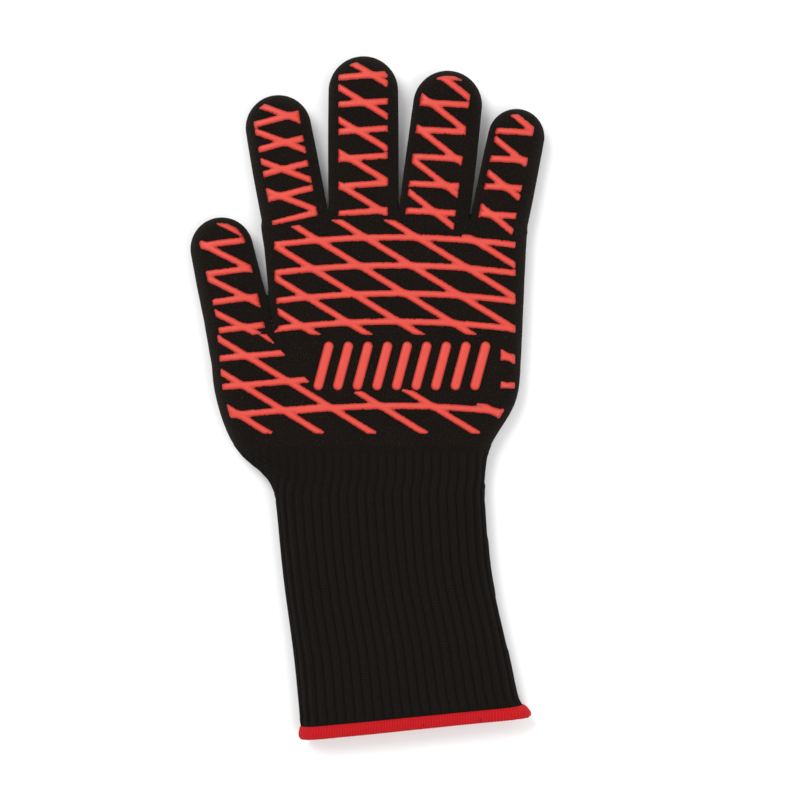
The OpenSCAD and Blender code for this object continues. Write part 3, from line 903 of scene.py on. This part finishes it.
# ----------------------------------------------
# Hem: red thread overlocked round the mouth of the cuff. It wraps the edge of the rib
# and the liner together, loop by loop.
# ----------------------------------------------
HEM_HEIGHT, HEM_PROUD, THREAD_RISE = 0.0064, 0.0011, 0.00028
# The thread's colour runs from HEM_DARK to HEM_LIGHT partly by the loops' height, which is painted
# shade.
HEM_DARK, HEM_LIGHT = (0.22, 0.002, 0.004, 1), (0.62, 0.008, 0.013, 1)
HEM_GAP = (0.05, 0.003, 0.004, 1)
LOOP_PITCH = 0.00125
STEPS_PER_LOOP = 4
RINGS_ACROSS = 18
hem_steps = round(neck_round * 1.06 / LOOP_PITCH) * STEPS_PER_LOOP
hem_share = HEM_HEIGHT / (CUFF_TOP - hem_left_y)
hem_rings = []
for k in range(RINGS_ACROSS):
    angle = math.pi * k / (RINGS_ACROSS - 1)
    lift = abs(math.cos(angle)) ** 0.8
    outer_share = min(max(0.5 + 1.7 * math.cos(angle), 0), 1)
    outside = cuff_ring(1 - hem_share * lift, hem_steps)[0]
    lining = cuff_ring(1 - hem_share * lift, hem_steps, LINER_INSET)[0]
    proud = HEM_PROUD * (1 if outer_share > 0.5 else -0.6) * (1 - lift ** 5) ** 0.5
    away = outward(np.array([cuff_ring(1 - hem_share, hem_steps)[0], outside]))[1]
    spot = outside * outer_share + lining * (1 - outer_share) + away * proud
    spot[:, 1] -= 0.0007 * math.sin(angle) ** 2
    hem_rings.append(spot)
hem_rings = np.array(hem_rings)
slant = np.linspace(0, 2.2, RINGS_ACROSS)[:, None]
loops = np.arange(hem_steps)[None, :] / STEPS_PER_LOOP + slant
thread = np.abs(np.sin(math.pi * loops)) ** 0.8
crown = np.sin(np.linspace(0.12, math.pi - 0.12, RINGS_ACROSS))[:, None]
hem_out = outward(hem_rings)
middle_line = hem_rings.mean(0, keepdims=True)
turned = np.sign(((hem_rings - middle_line) * hem_out).sum(2, keepdims=True).mean())
hem_rings = hem_rings + hem_out * turned * (thread * crown * THREAD_RISE)[..., None]
hem_mesh = solid_mesh("hem_binding", hem_rings.reshape(-1, 3), tube_faces(RINGS_ACROSS, hem_steps))
across_hem = np.broadcast_to(np.linspace(0, 1, RINGS_ACROSS)[:, None], thread.shape)
add_places(hem_mesh, np.stack([loops, across_hem, thread], -1).reshape(-1, 3))

hem = Recipe("red_overlock_thread")
hem_place = hem.node("ShaderNodeAttribute", {"attribute_name": "knit"}, {})["Vector"]
hem_parts = hem.node("ShaderNodeSeparateXYZ", {}, {"Vector": hem_place})
hem_object = hem.node("ShaderNodeTexCoord", {}, {})["Object"]
hem_fibre = hem.noise(hem_object, 2600, 3.0)
ply = ((hem_parts["X"] * 6 + hem_parts["Y"] * 9) * (2 * math.pi)).sine() * 0.5 + 0.5
# Painted shade: the thread's height lightens the crown of each loop and darkens the hollows between
# loops; fibre and ply are the thread's own tone.
hem_shade = hem_parts["Z"] * 0.6 + hem_fibre * 0.35 + ply * 0.1
hem_red = hem.blend(hem_shade, HEM_DARK, HEM_LIGHT)
under = (hem_parts["Y"] - 0.42).size().eased(0.1, 0.02)
gaps = hem.noise(hem_object, 420, 1.0).eased(0.68, 0.72) * under
hem.surface(Base_Color=hem.blend(gaps * (1 - hem_parts["Z"] * 0.7), hem_red, HEM_GAP),
            Roughness=0.75, Sheen_Weight=0.06, Sheen_Roughness=0.4,
            Sheen_Tint=(1, 0.3, 0.25, 1), Specular_IOR_Level=0.15)
hem.relief(hem_parts["Z"] * 0.5 + ply * 0.25 + hem_fibre * 0.4, 0.00025)
hem_piece = add_object("hem_binding", hem_mesh, hem.material)
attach(hem_piece, "cuff")
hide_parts("cuff_hem")

# ----------------------------------------------
# Grips: raised lines of red silicone printed on both faces. Lines run nearly straight
# across and cross slanting ones, and the wet silicone fills the corners where they meet.
# ----------------------------------------------
LINE_WIDTH = 0.0032
LINE_HEIGHT = 0.00085
CORNER_FILL = 0.0011
PRINT_STEP = 0.00055
TUCK, SUNK = 0.0004, 0.00006


def lines_gap(x, y, heights, angle):
    """Distance to the nearest of some straight lines, given by their heights at x = 0."""
    lean = math.radians(angle)
    gaps = [np.abs((y - h) * math.cos(lean) - x * math.sin(lean)) for h in heights]
    return np.min(gaps, 0)


def crossed(first, second, region):
    """A print of two sets of lines inside a region."""
    print_gap = merged(first, second, CORNER_FILL) - LINE_WIDTH / 2
    return -merged(-print_gap, -region, 0.0005)


def spaced(first, pitch, count=6):
    """Heights of evenly spaced lines, the lowest first."""
    return [first + k * pitch for k in range(count)]


SIDE_MARGIN, TIP_MARGIN = 0.005, 0.0032
THUMB_ROW, THUMB_PITCH = 0.0015, 0.0138


def digit_print(points, digit, rows, tilt, slants, lean, shift, low_end):
    """The lines on one digit. rows and slants each give the lowest line and the pitch. A
    bare margin is left at both sides and round the tip."""
    x, y = digit.own(points).T
    half = digit.root_radius - SIDE_MARGIN
    region = np.maximum(np.abs(x - shift) - half, digit.distance(points) + TIP_MARGIN)
    region = np.maximum(region, low_end - y)
    return crossed(lines_gap(x, y, spaced(*rows), tilt),
                   lines_gap(x, y, spaced(*slants), lean), region)


def finger_print(points):
    """The lines of all four fingers and the thumb."""
    index, middle, ring, little = fingers
    return np.minimum.reduce([
        digit_print(points, index, rows=(-0.002, 0.012), tilt=4,
                    slants=(0.0065, 0.0145), lean=-31, shift=0, low_end=-0.0035),
        digit_print(points, middle, rows=(-0.002, 0.013), tilt=4,
                    slants=(0.004, 0.0155), lean=-31, shift=0, low_end=-0.004),
        digit_print(points, ring, rows=(0, 0.013), tilt=4,
                    slants=(0, 0.0155), lean=-31, shift=-0.002, low_end=-0.0075),
        digit_print(points, little, rows=(0.0035, 0.0135), tilt=8,
                    slants=(0.0005, 0.0165), lean=-28, shift=-0.0015, low_end=-0.008),
        digit_print(points, thumb, rows=(THUMB_ROW, THUMB_PITCH), tilt=-5,
                    slants=(0.0035, 0.017), lean=-39, shift=0.0015, low_end=-0.0035)])


TOP_ROW, ROW_PITCH = 0.073, 0.0134
SLANT_PITCH, SLANT_LEAN = 0.0152, -31.5
BOW, BOW_MIDDLE, BOW_HALF = 0.0036, 0.013, 0.057
BAND_LOW, BAND_HIGH, BAND_LEFT = 0.0005, 0.0315, -0.034
PRINT_LEFT, PRINT_RIGHT, PRINT_LOW = -0.0445, 0.0708, -0.0172
PRINT_TOP, MIDDLE_RISE, RIGHT_DROP = 0.085, 0.0035, 0.0105
STUB_LEFT, STUB_RIGHT, STUB_LOW, STUB_TOP = 0.0635, 0.0706, 0.0045, 0.0235


def palm_print(points, with_band=True):
    """The lines on the palm: bowed ones across, slanting ones through them."""
    x, y = points[:, 0], points[:, 1]
    rise = BOW * (1 - ((x - BOW_MIDDLE) / BOW_HALF) ** 2)
    slants = lines_gap(x, y, [k * SLANT_PITCH for k in range(-3, 8)], SLANT_LEAN)
    rows = [TOP_ROW - k * ROW_PITCH for k in range(7)]
    upper = lines_gap(x, y - rise, rows[:4], 0)
    lower = lines_gap(x, y - rise, rows[6:], 0)
    edge = palm_distance(points) + 0.0035
    sides_gap = np.maximum(PRINT_LEFT - x, x - PRINT_RIGHT)
    rises, drops = ease((x + 0.018) / 0.004), ease((x - 0.033) / 0.004)
    print_top = PRINT_TOP + MIDDLE_RISE * rises - RIGHT_DROP * drops
    top_zone = np.maximum.reduce([sides_gap, edge, BAND_HIGH - 0.0015 - y, y - print_top])
    low_zone = np.maximum.reduce([edge, x - 0.0665, BAND_LEFT - 0.001 - x,
                                  y - BAND_LOW - 0.004 * np.cos((x - 0.01) * 55), PRINT_LOW - y])
    left_end = -0.038 + 0.9 * (rows[4] - y)
    x_own, y_own = thumb.own(points).T
    base_rows = [THUMB_ROW - k * THUMB_PITCH for k in (1, 2, 3)]
    base_lines = lines_gap(x_own, y_own, base_rows, -7.5)
    base_zone = np.maximum.reduce([edge + 0.001, x - left_end, PRINT_LOW - y, y - 0.0305])
    parts = [crossed(upper, slants, top_zone), crossed(lower, slants, low_zone),
             crossed(base_lines, slants, base_zone)]
    stubs = lines_gap(x, y, rows[4:6], 0)
    stub_zone = np.maximum.reduce([STUB_LEFT - x, x - STUB_RIGHT, y - STUB_TOP, STUB_LOW - y])
    parts.append(crossed(stubs, slants, stub_zone))
    if not with_band:
        middle = lines_gap(x, y - rise, rows[4:6], 0)
        band = np.maximum.reduce([sides_gap, edge, y - BAND_HIGH, BAND_LOW - y, BAND_LEFT - x])
        parts.append(crossed(middle, slants, band))
    return np.min(parts, 0)


def printed(points, with_band=True):
    """Both prints, with the slightly uneven edge that thick silicone leaves on knit."""
    x, y = points[:, 0], points[:, 1]
    uneven = np.sin(x * 1900 + 3 * np.sin(y * 700)) * np.sin(y * 2300 + 2 * np.sin(x * 900))
    return np.minimum(finger_print(points), palm_print(points, with_band)) + 0.00013 * uneven


def printed_behind(points):
    return printed(points, with_band=False)


def face_height(spots):
    """Height of the fabric's front over the middle of its thickness."""
    distance = plan_distance(spots, every_digit)
    out = np.clip(distance + EDGE_ROUND, 0, EDGE_ROUND)
    return half_height(spots, distance) - EDGE_ROUND + np.sqrt(EDGE_ROUND ** 2 - out ** 2)


def print_skin(gap, half_width, height, behind, box_low, box_high):
    """A raised print over the fabric where gap is negative. Its edge is tucked in."""
    x = np.arange(box_low[0], box_high[0], PRINT_STEP)
    y = np.arange(box_low[1], box_high[1], PRINT_STEP)
    gx, gy = np.meshgrid(x, y, indexing="ij")
    spots = np.stack([gx.ravel(), gy.ravel()], 1)
    value = gap(spots)
    touched = (value < PRINT_STEP).reshape(gx.shape)
    whole = touched[:-1, :-1] & touched[1:, :-1] & touched[1:, 1:] & touched[:-1, 1:]
    number = np.arange(gx.size).reshape(gx.shape)
    quads = np.stack([number[:-1, :-1], number[1:, :-1], number[1:, 1:], number[:-1, 1:]], -1)[whole]
    used, renumbered = np.unique(quads, return_inverse=True)
    quads = renumbered.reshape(quads.shape)
    spots, value = spots[used], value[used]
    steep = slope(gap, spots, 0.0001)
    length = np.maximum(np.linalg.norm(steep, axis=1), 0.3)
    on_edge = np.abs(value) < PRINT_STEP * 0.62
    spots[on_edge] -= (steep / length[:, None] ** 2 * value[:, None])[on_edge]
    value = np.where(on_edge, 0, value)
    inward = np.clip(-value / half_width, 0, 1)
    raised = height * np.sqrt(1 - (1 - inward) ** 2.6)
    lift = np.where(value > 0, -TUCK, raised - SUNK)
    z = face_height(spots) + lift
    points = np.column_stack([spots, MIDDLE_Z + (-z if behind else z)])
    return points, (quads[:, ::-1] if behind else quads)


def joined(first, second):
    """Two skins as one."""
    faces = np.concatenate([first[1], second[1] + len(first[0])])
    return np.concatenate([first[0], second[0]]), faces


print_low = (cad_bounds[0].x, PRINT_LOW - 0.003)
print_high = (cad_bounds[1].x, cad_bounds[1].y)
both_prints = joined(
    print_skin(printed, LINE_WIDTH / 2, LINE_HEIGHT, False, print_low, print_high),
    print_skin(printed_behind, LINE_WIDTH / 2, LINE_HEIGHT, True, print_low, print_high))

silicone = Recipe("red_printed_silicone")
rim = silicone.node("ShaderNodeAttribute", {"attribute_name": "knit"}, {})["Vector"]
rim_part = silicone.node("ShaderNodeSeparateXYZ", {}, {"Vector": rim})["Z"]
skin_place = silicone.node("ShaderNodeTexCoord", {}, {})["Object"]
mottle = silicone.noise(skin_place, 240, 3.0)
grain = silicone.noise(skin_place, 2400, 2.0)
wear = silicone.noise(skin_place, 900, 2.0).eased(0.6, 0.75)
RIM_RED, BODY_RED = (0.36, 0.014, 0.008, 1), (0.6, 0.044, 0.024, 1)
MOTTLE_RED, WORN_RED = (0.47, 0.026, 0.016, 1), (0.75, 0.14, 0.1, 1)
body_red = silicone.blend(rim_part.eased(0.0, 0.75), RIM_RED, BODY_RED)
body_red = silicone.blend(mottle * 0.3, body_red, MOTTLE_RED)
silicone.surface(Base_Color=silicone.blend(wear * 0.1, body_red, WORN_RED),
                 Roughness=0.42 + mottle * 0.16 + wear * 0.08, Specular_IOR_Level=0.45)
silicone.relief(grain * 0.6 + mottle * 0.8, 0.00012)


def lattice_gap(spots):
    """The print's own gap on whichever face a point lies."""
    return np.where(spots[:, 2] < MIDDLE_Z, printed_behind(spots), printed(spots))


def print_piece(name, skin, gap, near, cuts, keep):
    """One piece of the print. How far each corner lies from its edge is stored with it."""
    mesh = trimmed(name, *skin, near, cuts, keep)
    spots = spots_of(mesh)
    edge = np.clip(-gap(spots) / (LINE_WIDTH / 2), 0, 1)
    add_places(mesh, np.column_stack([spots[:, :2], edge]))
    piece = add_object(name, mesh, silicone.material)
    return piece


palm_grip = print_piece("palm_print", both_prints, lattice_gap, everywhere, palm_cuts[1:],
                        on_palm)
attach(palm_grip, "palm")
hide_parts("palm_grip")

for finger in fingers:
    for part, start, end, parent, body, turn in digit_lengths(finger):
        piece = print_piece(
            f"{finger.name}_{part}_print", both_prints, lattice_gap,
            near_length(finger, start, end), end_cuts(finger, start, end),
            on_length(finger, start, end))
        turn_between(piece, finger, turn)
        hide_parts(f"{finger.name}_{part}_grip")


def near_thumb(points):
    """True near the thumb's side of the hand."""
    return points[:, 0] < crotch_x + 0.002


root_print = print_piece(
    "thumb_proximal_print", both_prints, lattice_gap, near_thumb,
    [(*crease_plane, near_crease), (*level(thumb, thumb_seam), everywhere)],
    lambda p: on_thumb_side(p) & below_seam(p))
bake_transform(root_print)
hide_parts("thumb_proximal_grip")
tip_print = print_piece(
    "thumb_tip_print", both_prints, lattice_gap, near_thumb,
    [(*level(thumb, thumb_seam), everywhere)], lambda p: on_thumb_side(p) & ~below_seam(p))
turn_between(tip_print, thumb, thumb_bend)
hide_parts("thumb_tip_grip")

# ----------------------------------------------
# Palm bars: a row of plain slanted grip bars of the same silicone, a little higher and
# wider than the lines, in the bare band across the palm.
# ----------------------------------------------
BAR_COUNT, BAR_WIDTH, BAR_LENGTH, BAR_LEAN = 9, 0.0047, 0.024, -15
BAR_HEIGHT = LINE_HEIGHT + 0.00015
bars_low, bars_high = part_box("palm_bars")
bars_middle = ((bars_low.x + bars_high.x) / 2, (bars_low.y + bars_high.y) / 2)
bar_reach = BAR_WIDTH + BAR_LENGTH * 0.26 - 0.0012
bar_pitch = (bars_high.x - bars_low.x - bar_reach) / (BAR_COUNT - 1)


def bars_gap(points):
    """Distance to the nearest bar's edge, negative inside."""
    lean = math.radians(BAR_LEAN)
    gaps = []
    for k in range(BAR_COUNT):
        x = points[:, 0] - bars_middle[0] - (k - (BAR_COUNT - 1) / 2) * bar_pitch
        y = points[:, 1] - bars_middle[1]
        along = -x * math.sin(lean) + y * math.cos(lean)
        across = x * math.cos(lean) + y * math.sin(lean)
        past = np.maximum(np.abs(along) - (BAR_LENGTH - BAR_WIDTH) / 2, 0)
        gaps.append(np.hypot(across, past) - BAR_WIDTH / 2)
    return np.min(gaps, 0)


bar_skin = print_skin(
    bars_gap, BAR_WIDTH / 2, BAR_HEIGHT, False,
    (bars_low.x - 0.002, bars_low.y - 0.002), (bars_high.x + 0.002, bars_high.y + 0.002))
bars = print_piece("palm_slanted_bars", bar_skin, bars_gap, everywhere, [], everywhere)
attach(bars, "palm")
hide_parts("palm_bars")

# ----------------------------------------------
# Stage: a pale floor, soft light from above and a camera that looks straight down.
# ----------------------------------------------
floor_mesh = bpy.data.meshes.new("floor")
floor_mesh.from_pydata([(-3, -3, 0), (3, -3, 0), (3, 3, 0), (-3, 3, 0)], [], [(0, 1, 2, 3)])
floor_recipe = Recipe("pale_floor")
floor_recipe.surface(Base_Color=(0.93, 0.93, 0.93, 1), Roughness=0.9, Specular_IOR_Level=0.1)
floor = add_object("floor", floor_mesh, floor_recipe.material)
floor.location.z = -0.0004


def soft_light(name, spot, size, power):
    """A square lamp that faces the middle of the glove."""
    lamp = bpy.data.lights.new(name, "AREA")
    lamp.size, lamp.energy = size, power
    holder = bpy.data.objects.new(name, lamp)
    bpy.context.scene.collection.objects.link(holder)
    holder.location = spot
    holder.rotation_euler = (-holder.location).to_track_quat("-Z", "Y").to_euler()


soft_light("key_light", (-0.7, 0.9, 1.5), 0.9, 20)
soft_light("fill_light", (0.9, -0.6, 1.4), 1.4, 12)
world = bpy.data.worlds.new("studio")
world.use_nodes = True
world.node_tree.nodes["Background"].inputs["Color"].default_value = (1, 1, 1, 1)
world.node_tree.nodes["Background"].inputs["Strength"].default_value = 0.74
bpy.context.scene.world = world

LENS, SENSOR, VIEW_WIDTH = 100, 36, 0.384
VIEW_MIDDLE = (0.0156, -0.001)
camera = bpy.data.cameras.new("camera")
camera.lens, camera.sensor_width = LENS, SENSOR
holder = bpy.data.objects.new("camera", camera)
bpy.context.scene.collection.objects.link(holder)
holder.location = (*VIEW_MIDDLE, MIDDLE_Z + VIEW_WIDTH * LENS / SENSOR)
bpy.context.scene.camera = holder
bpy.context.scene.view_settings.view_transform = "Standard"
